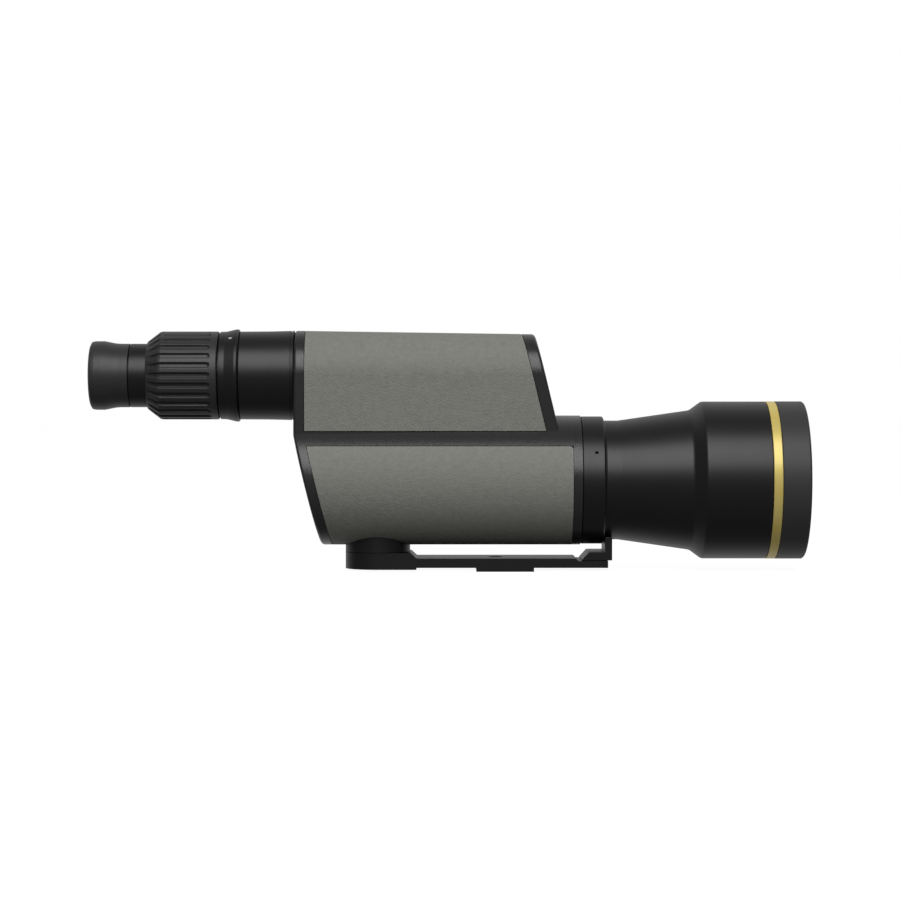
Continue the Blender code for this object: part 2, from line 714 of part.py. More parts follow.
def build_focus():
    """The ribbed focus ring and the ocular that it drives in and out."""
    grip = turned(
        "focus_ring",
        [
            (-157.8 * MM, 15.0 * MM),
            (-152.1 * MM, 19.2 * MM),
            (-151.2 * MM, GRIP_RADIUS),
            (-126.9 * MM, GRIP_RADIUS),
            (-126.3 * MM, 19.1 * MM),
        ],
        [
            (-157.8 * MM, 14.35 * MM),
            (-151.5 * MM, 14.35 * MM),
            (-151.5 * MM, 15.65 * MM),
            (-126.3 * MM, 15.65 * MM),
        ],
        steps=2 * GRIP_GROOVES,
        finish="rubber",
    )
    mesh = bpy.data.meshes.new("grip_grooves")
    bm = bmesh.new()
    groove_low, groove_high = -160 * MM, -129.6 * MM
    groove_floor, groove_width = 18.5 * MM, 1.9 * MM
    for number in range(GRIP_GROOVES):
        turn = Matrix.Rotation((number + 0.25) * math.tau / GRIP_GROOVES, 4, "X")
        place = (
            turn
            @ Matrix.Translation(((groove_low + groove_high) / 2, 0, groove_floor + 2 * MM))
            @ Matrix.Diagonal((groove_high - groove_low, groove_width, 4 * MM, 1.0))
        )
        bmesh.ops.create_cube(bm, size=1.0, matrix=place)
    bm.to_mesh(mesh)
    bm.free()
    grooves = add_object("grip_grooves", mesh, None)
    grooves.location = EYEPIECE_AXIS
    boolean(grip, grooves)

    turned(
        "ocular_barrel",
        [
            (-180.6 * MM, 12.0 * MM),
            (-165.5 * MM, 12.0 * MM),
            (-165.5 * MM, OCULAR_NOSE_RADIUS),
            (-155.5 * MM, OCULAR_NOSE_RADIUS),
            (-155.5 * MM, 12.95 * MM),
            (-153.7 * MM, 12.95 * MM),
            (-153.7 * MM, OCULAR_RADIUS),
            (-134.0 * MM, OCULAR_RADIUS),
        ],
        [
            (-180.6 * MM, 11.2 * MM),
            (-171.3 * MM, 11.2 * MM),
            (-171.3 * MM, 10.2 * MM),
            (-163.0 * MM, 10.2 * MM),
            (-163.0 * MM, 12.3 * MM),
            (-134.0 * MM, 12.3 * MM),
        ],
    )
    bpy.ops.mesh.primitive_torus_add(
        major_segments=MID,
        minor_segments=6,
        major_radius=13.62 * MM,
        minor_radius=0.36 * MM,
    )
    seal = bpy.context.object
    seal.users_collection[0].objects.unlink(seal)
    seal.name = "ocular_oring"
    seal.data.materials.append(finish_material("rubber"))
    SCOPE.objects.link(seal)
    aim(seal, EYEPIECE_AXIS + FORWARD * (-154.6 * MM), FORWARD)

    lens("eye_lens", -176.5 * MM, -173.0 * MM, 10.9 * MM, 0.8 * MM, 1.2 * MM)
    plain_ring("ocular_retaining_ring", -179.6 * MM, -177.9 * MM, 9.8 * MM, 10.9 * MM)
    lens("field_lens", -161.5 * MM, -158.0 * MM, 12.0 * MM, 1.0 * MM, 0.8 * MM)
    plain_ring("ocular_spacer", -157.0 * MM, -146.0 * MM, 10.8 * MM, 12.0 * MM)


def build_eyecup():
    """The twist-up rubber eyecup and the guide sleeve that it turns on."""
    plain_ring("eyecup_guide", -179.0 * MM, -166.4 * MM, 12.3 * MM, 12.75 * MM, finish="aluminium")
    turned(
        "eyecup",
        [
            (-183.0 * MM, 13.6 * MM),
            (-182.5 * MM, 14.7 * MM),
            (-181.6 * MM, 15.2 * MM),
            (-176.6 * MM, 15.2 * MM),
            (-173.5 * MM, 14.55 * MM),
            (-170.5 * MM, 14.1 * MM),
            (-165.9 * MM, 14.1 * MM),
        ],
        [
            (-183.0 * MM, 12.6 * MM),
            (-182.0 * MM, 11.5 * MM),
            (-181.0 * MM, 11.5 * MM),
            (-181.0 * MM, EYECUP_BORE),
            (-165.9 * MM, EYECUP_BORE),
        ],
        finish="rubber",
    )


# ---------------------------------------------------------------- foot


def build_foot():
    half = FOOT_WIDTH / 2
    round_end = [math.pi / 2 + math.pi * k / 18 for k in range(19)]
    outline = [(BOSS_X + half * math.cos(a), half * math.sin(a)) for a in round_end]
    outline += [(FOOT_END_X, -half), (FOOT_END_X, half)]
    arm = plate("foot_arm", outline, 0, BOSS_SEAM_Z, "black_anodised")
    ramp = [(-43.9 * MM, 10.4 * MM), (-38.9 * MM, 5.8 * MM), (31.1 * MM, 5.8 * MM), (32.2 * MM, 4.7 * MM)]
    ramp += [(50 * MM, 4.7 * MM), (50 * MM, 10.4 * MM)]
    boolean(arm, plate("foot_arm_top", ramp, -20 * MM, 20 * MM, None, upright=True))
    for part, low_x, high_x, top_z in (
        ("end", -80 * MM, -38.9 * MM, 0.85 * MM),
        ("rear", -39 * MM, -PAD_HALF, 1.7 * MM),
        ("front", PAD_HALF, 50 * MM, 1.7 * MM),
    ):
        low, high = (low_x, -20 * MM, -2 * MM), (high_x, 20 * MM, top_z)
        boolean(arm, block(f"foot_arm_{part}_underside", low, high))
    hole_at = (TRIPOD_HOLE_X, 0, 0)
    boolean(arm, rod("tripod_hole", -5 * MM, 15 * MM, TRIPOD_HOLE_RADIUS, at=hole_at, along=UP, steps=20))

    boss = rod(
        "mount_boss",
        BOSS_SEAM_Z + GAP,
        30 * MM,
        BOSS_RADIUS,
        at=(BOSS_X, 0, 0),
        along=UP,
        steps=BIG,
        finish="black_anodised",
    )
    boolean(
        boss,
        rod("boss_saddle_cut", -120 * MM, 60 * MM, BODY_RADIUS - ARMOR, at=OBJECTIVE_AXIS, steps=BIG),
    )
    for target, low, high, radius in (
        (arm, -2 * MM, 4.3 * MM, 4.6 * MM),
        (arm, 4 * MM, 9 * MM, FOOT_SCREW_HOLE),
        (boss, 7 * MM, 20 * MM, FOOT_SCREW_HOLE),
    ):
        name = f"{target.name}_hole_{high / MM:.0f}"
        boolean(target, rod(name, low, high, radius, at=(BOSS_X, 0, 0), along=UP, steps=16))
    cap_screw("foot_screw", (BOSS_X, 0, 1.3 * MM), UP, 4.3 * MM, 2.7 * MM, 2.7 * MM, 13.3 * MM)

    ramped = [(33.5 * MM, 5.0 * MM), (47.0 * MM, 5.0 * MM), (47.0 * MM, 15.1 * MM), (43.85 * MM, 15.1 * MM)]
    ramped += [(43.85 * MM, 8.6 * MM), (36.5 * MM, 8.6 * MM)]
    saddle = plate("saddle_block", ramped, -13.2 * MM, 13.2 * MM, "black_anodised", upright=True)
    cradle = rod("cradle_cut", 40 * MM, 50 * MM, SADDLE_BORE, at=OBJECTIVE_AXIS, steps=BIG)
    boolean(saddle, cradle)
    pad = plain_ring(
        "saddle_pad",
        43.95 * MM,
        46.9 * MM,
        26.5 * MM,
        27.15 * MM,
        at=OBJECTIVE_AXIS,
        steps=BIG,
        finish="rubber",
    )
    boolean(pad, block("saddle_pad_top", (40 * MM, -50 * MM, 15.0 * MM), (50 * MM, 50 * MM, 90 * MM)))

    for side, y in (("left", 7.5 * MM), ("right", -7.5 * MM)):
        at = Vector((39.6 * MM, y, 0))
        for target, low, high, radius in (
            (arm, 0, 2.9 * MM, 2.5 * MM),
            (arm, 2 * MM, 6 * MM, SADDLE_SCREW_HOLE),
            (saddle, 4 * MM, 7.6 * MM, SADDLE_SCREW_HOLE),
        ):
            name = f"{target.name}_{side}_{high / MM:.0f}"
            boolean(target, rod(name, low, high, radius, at=at, along=UP, steps=12))
        cap_screw(f"saddle_screw_{side}", at + UP * 1.8 * MM, UP, 2.2 * MM, 0.8 * MM, 1.2 * MM, 5.4 * MM)


# ---------------------------------------------------------------- assembly

MOVING_GROUPS = {
    "power_axis": ("power_ring", "power_index_dot", "power_ring_screw", "cam_sleeve"),
    "focus_axis": ("focus_ring",),
    "ocular_axis": (
        "ocular_barrel",
        "ocular_oring",
        "eye_lens",
        "field_lens",
        "ocular_spacer",
        "ocular_retaining_ring",
    ),
    "eyecup_axis": ("eyecup_guide", "eyecup"),
    "front_erector_axis": ("front_erector_cell", "front_erector_lens", "front_erector_pin"),
    "rear_erector_axis": ("rear_erector_cell", "rear_erector_lens", "rear_erector_pin"),
}


def group_moving_pieces():
    """Parents each moving body's pieces to an empty on the eyepiece axis."""
    for group, members in MOVING_GROUPS.items():
        empty = bpy.data.objects.new(group, None)
        SCOPE.objects.link(empty)
        empty.location = EYEPIECE_AXIS
        bpy.context.view_layer.update()
        for member in members:
            piece = bpy.data.objects[member]
            piece.parent = empty
            piece.matrix_parent_inverse = empty.matrix_world.inverted()


clear_scene()
SCOPE = new_collection("spotting_scope")
CUTTERS = new_collection("cutters")
CUTTERS.hide_render = True
build_housing()
build_armor()
for mirror_wall in MIRROR_WALLS:
    build_mirror_wall(mirror_wall)
build_objective()
build_zoom()
build_eyepiece_tube()
build_focus()
build_eyecup()
build_foot()
group_moving_pieces()
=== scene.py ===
"""A folded-path spotting scope in a white studio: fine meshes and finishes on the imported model's frame."""

import math

import bmesh
import bpy
from mathutils import Matrix, Vector


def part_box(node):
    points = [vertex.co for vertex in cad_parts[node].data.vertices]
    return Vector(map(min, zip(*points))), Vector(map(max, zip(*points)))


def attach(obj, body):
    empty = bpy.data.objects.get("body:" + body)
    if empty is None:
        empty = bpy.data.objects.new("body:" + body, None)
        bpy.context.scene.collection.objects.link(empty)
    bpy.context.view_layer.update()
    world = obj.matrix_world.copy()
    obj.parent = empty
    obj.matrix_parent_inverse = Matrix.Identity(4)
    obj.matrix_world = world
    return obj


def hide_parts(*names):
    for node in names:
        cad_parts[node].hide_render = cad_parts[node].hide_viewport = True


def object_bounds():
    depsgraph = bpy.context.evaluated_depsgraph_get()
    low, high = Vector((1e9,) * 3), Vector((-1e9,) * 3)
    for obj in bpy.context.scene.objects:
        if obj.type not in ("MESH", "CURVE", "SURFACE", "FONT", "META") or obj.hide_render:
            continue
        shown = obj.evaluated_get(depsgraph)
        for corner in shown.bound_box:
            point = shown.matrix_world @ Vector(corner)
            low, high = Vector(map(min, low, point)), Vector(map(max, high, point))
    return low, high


MM = 0.001
FORWARD, UP, ACROSS = Vector((1, 0, 0)), Vector((0, 0, 1)), Vector((0, 1, 0))

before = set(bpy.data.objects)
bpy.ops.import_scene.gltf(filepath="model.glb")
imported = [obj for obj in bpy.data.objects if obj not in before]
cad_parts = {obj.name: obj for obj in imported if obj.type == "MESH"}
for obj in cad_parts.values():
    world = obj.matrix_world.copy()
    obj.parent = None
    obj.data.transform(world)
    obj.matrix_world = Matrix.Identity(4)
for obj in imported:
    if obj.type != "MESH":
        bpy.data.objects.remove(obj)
CAD_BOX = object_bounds()


def span(node, axis):
    """A node's lowest and highest value along an axis, in millimetres."""
    low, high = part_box(node)
    return low[axis] / MM, high[axis] / MM


def middle(node):
    """The middle of a node's box in metres."""
    low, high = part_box(node)
    return (Vector(low) + Vector(high)) / 2


# The two optical axes and the stations that the pieces are set out from, in millimetres where not a vector
OBJECTIVE_AXIS = UP * middle("objective_barrel").z
EYEPIECE_AXIS = UP * middle("power_ring").z
OBJECTIVE_Z = OBJECTIVE_AXIS.z / MM
EYEPIECE_Z = EYEPIECE_AXIS.z / MM
REAR_X, NECK_X = span("body_housing", 0)
BODY_RADIUS = (span("body_housing", 1)[1] - span("body_housing", 1)[0]) / 2
SLANT = math.radians(13.6)
WALL_NORMAL = FORWARD * math.cos(SLANT) + UP * math.sin(SLANT)
SLANT_START_Z = 60.0
REAR_POINT = OBJECTIVE_AXIS + FORWARD * MM * (REAR_X + math.tan(SLANT) * (SLANT_START_Z - OBJECTIVE_Z))
FRONT_POINT = EYEPIECE_AXIS + FORWARD * MM * 17.6
ARCH_REAR, ARCH_FRONT, ARCH_END_X = 19.8, 18.1, 26.0
PANEL_START_X = span("upper_armor", 0)[0]
PANEL_BOTTOM_Z = span("upper_armor", 2)[0]
PANEL_FRONT_X = span("lower_armor", 0)[1]
TROUGH_TOP_Z = span("lower_armor", 2)[1]
BEZEL, FRONT_BEZEL = 4.8, 5.5
EDGE_ROUND, EDGE_STEPS = 1.3, 5
ARCH_STEPS, ARCH_FOOT_Z = 96, 50
VOID_INSET, WALL = 3.4, 6.2
BED_DEPTH, INLAY_THICKNESS, INLAY_CORNER, INLAY_EDGE, GAP = 1.3, 1.0, 1.3, 0.22, 0.26
BOSS_X = middle("mount_boss").x / MM
BOSS_RADIUS = (span("mount_boss", 1)[1] - span("mount_boss", 1)[0]) / 2
TRIPOD_HOLE_X, TRIPOD_HOLE_RADIUS = -4.0, 3.175
FINE = 192
WELD = 0.002 * MM


# ---------------------------------------------------------------- mesh helpers


def solid(bm, name="cutter"):
    """A bmesh as a bare object, for cutting, joining or finishing."""
    bmesh.ops.remove_doubles(bm, verts=bm.verts, dist=WELD)
    bmesh.ops.recalc_face_normals(bm, faces=bm.faces)
    mesh = bpy.data.meshes.new(name)
    bm.to_mesh(mesh)
    bm.free()
    piece = bpy.data.objects.new(name, mesh)
    bpy.context.scene.collection.objects.link(piece)
    return piece


def finish_piece(bm, name, material, body, node, sharp=38):
    """Turns a bmesh into a piece with smooth faces, its finish and its body, in place of a CAD node."""
    piece = solid(bm, name)
    dress(piece, material, sharp)
    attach(piece, body)
    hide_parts(node)


def dress(piece, material, sharp):
    """Smooth shading with sharp edges kept, flat faces kept flat, and one material."""
    piece.data.shade_smooth()
    piece.data.set_sharp_from_angle(angle=math.radians(sharp))
    piece.data.materials.clear()
    piece.data.materials.append(material)
    normals = piece.modifiers.new("Flats", "WEIGHTED_NORMAL")
    normals.keep_sharp = True
    freeze(piece)


def freeze(piece):
    """Applies a piece's modifiers to its mesh."""
    bpy.context.view_layer.update()
    graph = bpy.context.evaluated_depsgraph_get()
    mesh = bpy.data.meshes.new_from_object(piece.evaluated_get(graph))
    old = piece.data
    piece.modifiers.clear()
    piece.data = mesh
    bpy.data.meshes.remove(old)
    mesh.name = piece.name


def combine(base, others, operation="DIFFERENCE"):
    """Cuts solids out of a base solid, or joins them to it, and removes them."""
    for other in others:
        cut = base.modifiers.new("Cut", "BOOLEAN")
        cut.operation = operation
        cut.object = other
        cut.solver = "MANIFOLD"
    freeze(base)
    for other in others:
        bpy.data.objects.remove(other)
    return base


def take(base):
    """A bare solid's mesh as a bmesh again, the object removed."""
    bm = bmesh.new()
    bm.from_mesh(base.data)
    bpy.data.objects.remove(base)
    return bm


def soften(bm, width, segments, degrees):
    """Rounds the edges whose two faces meet at more than an angle."""
    limit = math.radians(degrees)
    chosen = [e for e in bm.edges if len(e.link_faces) == 2 and e.calc_face_angle(0) > limit]
    bmesh.ops.bevel(
        bm,
        geom=chosen,
        offset=width * MM,
        offset_type="OFFSET",
        segments=segments,
        profile=0.5,
        affect="EDGES",
        clamp_overlap=True,
        material=-1,
    )


def rounded(outline, steps=5):
    """An outline of (along, out) points where a third number is the radius of an arc round that corner."""
    points = []
    count = len(outline)
    for i, station in enumerate(outline):
        here = Vector(station[:2])
        radius = station[2] if len(station) > 2 else 0
        back, ahead = Vector(outline[i - 1][:2]) - here, Vector(outline[(i + 1) % count][:2]) - here
        if not radius or not back.length or not ahead.length:
            points.append(here)
            continue
        half = back.angle(ahead) / 2
        reach = min(radius / math.tan(half), 0.48 * back.length, 0.48 * ahead.length)
        radius = reach * math.tan(half)
        centre = here + (back.normalized() + ahead.normalized()).normalized() * (radius / math.sin(half))
        first, last = here + back.normalized() * reach - centre, here + ahead.normalized() * reach - centre
        sweep = first.angle_signed(last)
        for k in range(steps + 1):
            points.append(centre + Matrix.Rotation(-sweep * k / steps, 2) @ first)
    return points


def turned(outline, at=EYEPIECE_AXIS, along=FORWARD, steps=FINE, closed=True):
    """A bmesh turned about an axis from an outline of (along, out[, corner]) millimetres."""
    bm = bmesh.new()
    points = rounded(outline)
    chain = [bm.verts.new((p.x * MM, 0, p.y * MM)) for p in points]
    pairs = list(zip(chain, chain[1:]))
    if closed and (points[0].y > 0 or points[-1].y > 0):
        pairs.append((chain[-1], chain[0]))
    edges = [bm.edges.new(pair) for pair in pairs]
    bmesh.ops.spin(
        bm,
        geom=chain + edges,
        cent=(0, 0, 0),
        axis=(1, 0, 0),
        dvec=(0, 0, 0),
        angle=math.tau,
        steps=steps,
        use_merge=True,
        use_duplicate=False,
    )
    bmesh.ops.remove_doubles(bm, verts=bm.verts, dist=WELD)
    turn = FORWARD.rotation_difference(along).to_matrix().to_4x4()
    bmesh.ops.transform(bm, matrix=Matrix.Translation(at) @ turn, verts=bm.verts)
    bmesh.ops.recalc_face_normals(bm, faces=bm.faces)
    return bm


def rod(low, high, radius, at=EYEPIECE_AXIS, along=FORWARD, steps=FINE):
    """A plain round solid as an object."""
    return solid(turned([(low, 0), (low, radius), (high, radius), (high, 0)], at, along, steps))


def brick(low, high):
    """A plain box between two corners in millimetres, as an object."""
    bm = bmesh.new()
    low, high = Vector(low) * MM, Vector(high) * MM
    size = high - low
    place = Matrix.Translation((low + high) / 2) @ Matrix.Diagonal((*size, 1))
    bmesh.ops.create_cube(bm, size=1, matrix=place)
    return solid(bm)


def prism(outline, low, high, upright=False):
    """A bmesh pulled up from a flat outline: (x, y) between two heights, or (x, z) between two depths."""
    bm = bmesh.new()
    points = rounded(outline, steps=8)
    if upright:
        base = bm.faces.new([bm.verts.new((p.x * MM, low * MM, p.y * MM)) for p in points])
        pull = ACROSS
    else:
        base = bm.faces.new([bm.verts.new((p.x * MM, p.y * MM, low * MM)) for p in points])
        pull = UP
    made = bmesh.ops.extrude_face_region(bm, geom=[base])["geom"]
    moved = [v for v in made if isinstance(v, bmesh.types.BMVert)]
    bmesh.ops.translate(bm, verts=moved, vec=pull * (high - low) * MM)
    bmesh.ops.recalc_face_normals(bm, faces=bm.faces)
    return bm


def slice_off(bm, point, normal):
    """Cuts away everything on the side that a normal points to and closes the cut."""
    geometry = bm.verts[:] + bm.edges[:] + bm.faces[:]
    plane = {"plane_co": point, "plane_no": normal}
    cut = bmesh.ops.bisect_plane(bm, geom=geometry, dist=1e-7, clear_outer=True, **plane)
    rim = [e for e in cut["geom_cut"] if isinstance(e, bmesh.types.BMEdge)]
    bmesh.ops.contextual_create(bm, geom=rim)
    bmesh.ops.recalc_face_normals(bm, faces=bm.faces)


# ---------------------------------------------------------------- shader helpers


class Value:
    """A shader socket that arithmetic can be written on."""

    def __init__(self, finish, socket):
        self.finish = finish
        self.socket = socket

    def join(self, operation, other, swapped=False):
        pair = (other, self) if swapped else (self, other)
        return self.finish.node("ShaderNodeMath", {"operation": operation}, {0: pair[0], 1: pair[1]})

    def __add__(self, other):
        return self.join("ADD", other)

    def __radd__(self, other):
        return self.join("ADD", other, True)

    def __rsub__(self, other):
        return self.join("SUBTRACT", other, True)

    def __mul__(self, other):
        return self.join("MULTIPLY", other)

    def __rmul__(self, other):
        return self.join("MULTIPLY", other, True)


class Finish:
    """A material and the nodes that its Principled shader is fed from."""

    def __init__(self, name, colour, roughness, metallic=0.0, **even):
        self.material = bpy.data.materials.new(name)
        self.material.use_nodes = True
        self.tree = self.material.node_tree
        self.shader = self.tree.nodes["Principled BSDF"]
        self.shader.inputs["Base Color"].default_value = (*colour, 1)
        self.shader.inputs["Roughness"].default_value = roughness
        self.shader.inputs["Metallic"].default_value = metallic
        for socket, value in even.items():
            self.shader.inputs[socket.replace("_", " ").title().replace("Ior", "IOR")].default_value = value

    def node(self, kind, settings=None, inputs=None, output=0):
        """Adds a node, sets it, fills or links its inputs, and returns one of its outputs as a Value."""
        made = self.tree.nodes.new(kind)
        for key, value in (settings or {}).items():
            if key == "stops":
                ramp = made.color_ramp
                while len(ramp.elements) < len(value):
                    ramp.elements.new(0.5)
                for element, (place, colour) in zip(ramp.elements, value):
                    element.position = place
                    element.color = (*colour, 1)
            else:
                setattr(made, key, value)
        for key, value in (inputs or {}).items():
            if isinstance(value, Value):
                self.tree.links.new(value.socket, made.inputs[key])
            else:
                made.inputs[key].default_value = value
        return Value(self, made.outputs[output])

    def feed(self, socket, value):
        self.tree.links.new(value.socket, self.shader.inputs[socket])

    def place(self):
        return self.node("ShaderNodeTexCoord", output="Object")

    def noise(self, size, detail=3.0, roughness=0.55, stretch=(1, 1, 1)):
        """A noise whose grains are about a size in millimetres across."""
        where = self.place()
        if stretch != (1, 1, 1):
            where = self.node("ShaderNodeMapping", inputs={"Vector": where, "Scale": stretch})
        return self.node(
            "ShaderNodeTexNoise",
            inputs={"Vector": where, "Scale": 1000 / size, "Detail": detail, "Roughness": roughness},
        )

    def cells(self, size):
        """Round grains about a size in millimetres across, high in their middles."""
        return self.node(
            "ShaderNodeTexVoronoi",
            {"feature": "F1"},
            {"Vector": self.place(), "Scale": 1000 / size},
        )

    def bump(self, height, depth, strength=1.0):
        """Raises the surface by a height value times a depth in millimetres."""
        normal = self.node(
            "ShaderNodeBump", inputs={"Height": height, "Distance": depth * MM, "Strength": strength}
        )
        self.feed("Normal", normal)

    def tint(self, factor, low, high):
        """Runs the colour between two over a value."""
        colour = self.node("ShaderNodeValToRGB", {"stops": [(0.25, low), (0.75, high)]}, {"Fac": factor})
        self.feed("Base Color", colour)


def cast_paint():
    """Fine-textured black paint on the casting."""
    paint = Finish("cast_paint", (0.040, 0.040, 0.040), 0.27)
    grain = paint.noise(0.55, 4)
    fleck = paint.noise(0.22, 2)
    paint.bump(grain * 0.5 + fleck * 0.5, 0.07, 0.7)
    paint.feed("Roughness", 0.24 + 0.06 * paint.noise(3.0, 2))
    paint.tint(fleck, (0.031, 0.031, 0.031), (0.047, 0.047, 0.048))
    return paint.material


def armor_rubber():
    """Grey-green moulded rubber with a pebbled skin."""
    rubber = Finish("armor_rubber", (0.27, 0.275, 0.245), 0.6, specular_ior_level=0.35)
    pebble = rubber.cells(0.85)
    fine = rubber.noise(0.35, 3)
    mottle = rubber.noise(2.2, 4)
    rubber.bump((1 - pebble) * 0.6 + fine * 0.5, 0.22, 1.0)
    rubber.feed("Roughness", 0.56 + 0.14 * mottle)
    rubber.tint(mottle * 0.5 + fine * 0.5, (0.255, 0.260, 0.232), (0.375, 0.380, 0.342))
    return rubber.material


def satin_black():
    """Black anodising over a fine blast, with an even satin sheen."""
    black = Finish("satin_black", (0.014, 0.014, 0.0145), 0.38)
    blast = black.noise(0.16, 2)
    black.bump(blast, 0.012, 0.35)
    black.feed("Roughness", 0.35 + 0.06 * black.noise(9.0, 3))
    return black.material


def hood_black():
    """Matte black on the front ring."""
    matte = Finish("hood_black", (0.056, 0.056, 0.057), 0.48)
    matte.bump(matte.noise(0.3, 3), 0.02, 0.5)
    matte.feed("Roughness", 0.44 + 0.08 * matte.noise(5.0, 3))
    return matte.material


def grip_rubber():
    """Soft matte black rubber with a fine moulded grain."""
    rubber = Finish("grip_rubber", (0.044, 0.044, 0.045), 0.42)
    rubber.bump(rubber.noise(0.28, 3), 0.025, 0.6)
    rubber.feed("Roughness", 0.38 + 0.08 * rubber.noise(4.0, 3))
    return rubber.material


def gold_anodising():
    """Bright gold anodising over fine turning lines."""
    gold = Finish("gold_anodising", (1.0, 0.78, 0.24), 0.36, 0.22)
    lines = gold.noise(0.25, 2, 0.5, (1, 0.02, 0.02))
    gold.bump(lines, 0.004, 0.4)
    gold.feed("Roughness", 0.35 + 0.06 * gold.noise(5.0, 3))
    gold.tint(gold.noise(9.0, 2), (1.0, 0.76, 0.18), (1.0, 0.83, 0.29))
    return gold.material


def metal(name, colour, roughness):
    """A turned or milled metal with fine tool marks."""
    bare = Finish(name, colour, roughness, 1.0)
    bare.bump(bare.noise(0.15, 2, 0.5, (1, 0.05, 0.05)), 0.008, 0.4)
    bare.feed("Roughness", roughness - 0.05 + 0.12 * bare.noise(2.0, 3))
    return bare.material


def coated_glass():
    """Optical glass with an anti-reflection coating."""
    glass = Finish("coated_glass", (0.82, 0.93, 0.90), 0.02, transmission_weight=1.0, ior=1.5)
    glass.shader.inputs["Specular Tint"].default_value = (0.55, 0.80, 0.62, 1)
    glass.shader.inputs["Coat Weight"].default_value = 0.25
    glass.shader.inputs["Coat Tint"].default_value = (0.75, 0.62, 0.95, 1)
    return glass.material


def silvering():
    """A front-silvered optical mirror."""
    silver = Finish("silvering", (0.86, 0.88, 0.90), 0.03, 1.0)
    silver.feed("Roughness", 0.02 + 0.03 * silver.noise(8.0, 2))
    return silver.material


def white_fill():
    """White enamel in the index mark."""
    enamel = Finish("white_fill", (0.5, 0.5, 0.48), 0.5)
    enamel.tint(enamel.noise(0.5, 3), (0.44, 0.44, 0.42), (0.56, 0.56, 0.54))
    return enamel.material


PAINT = cast_paint()
ARMOR = armor_rubber()
SATIN = satin_black()
HOOD = hood_black()
RUBBER = grip_rubber()
GOLD = gold_anodising()
STEEL = metal("dark_steel", (0.12, 0.12, 0.125), 0.34)
ALUMINIUM = metal("milled_aluminium", (0.55, 0.56, 0.57), 0.34)
BRASS = metal("turned_brass", (0.58, 0.42, 0.18), 0.34)
GLASS = coated_glass()
SILVER = silvering()
ENAMEL = white_fill()

# ---------------------------------------------------------------- body casting


# How far the two forms stop short of each other's end faces, so that no faces lie in one plane
SLIVER = 0.02
# Each is the first station, the last station and the radius
NECK_BORE = (26.2, 40, 26.3)
EYE_BORE = (-100, -88.2, 16.9)
# The cover's radius and the radius of the opening behind it
REAR_COVER, FRONT_COVER = (23.2, 19.6), (15.4, 11.7)
COVER_THICKNESS, COVER_SEAT, COVER_GAP = 2.2, 2.5, 0.2
# Two fine grooves round the neck in front of the inlays
GROOVE_OFFSETS, GROOVE_WIDTH, GROOVE_DEPTH, GROOVE_TOP_Z = (1.0, 2.3), 0.3, 0.16, 64.2


def arch_radius(x):
    """The arch narrows evenly from its rear face to its front end."""
    return ARCH_REAR + (x - REAR_X) / (ARCH_END_X - REAR_X) * (ARCH_FRONT - ARCH_REAR)


def half_round(steps=ARCH_STEPS):
    """The arch's unit half circle as (across, up) points from one side over to the other."""
    over = [math.pi * (1 - k / steps) for k in range(steps + 1)]
    return [(math.cos(a), math.sin(a)) for a in over]


def arch_block(rear_x, front_x, offset, bottom_z, steps=ARCH_STEPS):
    """A bmesh of the tapering arch between two stations: upright sides under a half round."""
    rear, front = arch_radius(rear_x) + offset, arch_radius(front_x) + offset
    section = half_round(steps)
    just_above_foot = bottom_z + 0.001
    bm = bmesh.new()
    foot = (bottom_z - EYEPIECE_Z) / rear
    outline = [(-1, foot), *section, (1, foot)]
    base = bm.faces.new([bm.verts.new((rear_x, y * rear, EYEPIECE_Z + z * rear)) for y, z in outline])
    made = bmesh.ops.extrude_face_region(bm, geom=[base])["geom"]
    for vert in made:
        if isinstance(vert, bmesh.types.BMVert):
            vert.co.x = front_x
            vert.co.y *= front / rear
            if vert.co.z > just_above_foot:
                vert.co.z = EYEPIECE_Z + (vert.co.z - EYEPIECE_Z) * front / rear
    bmesh.ops.scale(bm, vec=(MM, MM, MM), verts=bm.verts)
    bmesh.ops.recalc_face_normals(bm, faces=bm.faces)
    return bm


def lofted(rows):
    """A closed bmesh through rows of matching points in millimetres, flat at both ends."""
    bm = bmesh.new()
    rings = [[bm.verts.new(Vector(point) * MM) for point in row] for row in rows]
    for near, far in zip(rings, rings[1:]):
        for k in range(len(near)):
            bm.faces.new((near[k - 1], near[k], far[k], far[k - 1]))
    bm.faces.new(rings[0])
    bm.faces.new(rings[-1])
    bmesh.ops.recalc_face_normals(bm, faces=bm.faces)
    return bm


def edge_rounding():
    """(inset, advance) pairs from an end's flat face to its side, for the casting's rounded edges."""
    turns = [math.pi / 2 * k / EDGE_STEPS for k in range(EDGE_STEPS + 1)]
    return [(EDGE_ROUND * (1 - math.sin(t)), EDGE_ROUND * (1 - math.cos(t))) for t in turns]


def lower_form():
    """The round lower tube, its slanted rear end rounded at the rim."""
    angles = [math.tau * k / FINE for k in range(FINE)]
    rows = []
    for inset, advance in edge_rounding():
        radius = BODY_RADIUS - inset
        circle = [(radius * math.cos(a), radius * math.sin(a)) for a in angles]
        rear = REAR_POINT.x / MM + advance / math.cos(SLANT)
        rows.append([(rear - math.tan(SLANT) * z, y, OBJECTIVE_Z + z) for y, z in circle])
    rows.append([(NECK_X, y, OBJECTIVE_Z + z) for y, z in circle])
    tube = lofted(rows)
    slice_off(tube, FORWARD * (REAR_X + SLIVER) * MM, -FORWARD)
    return tube


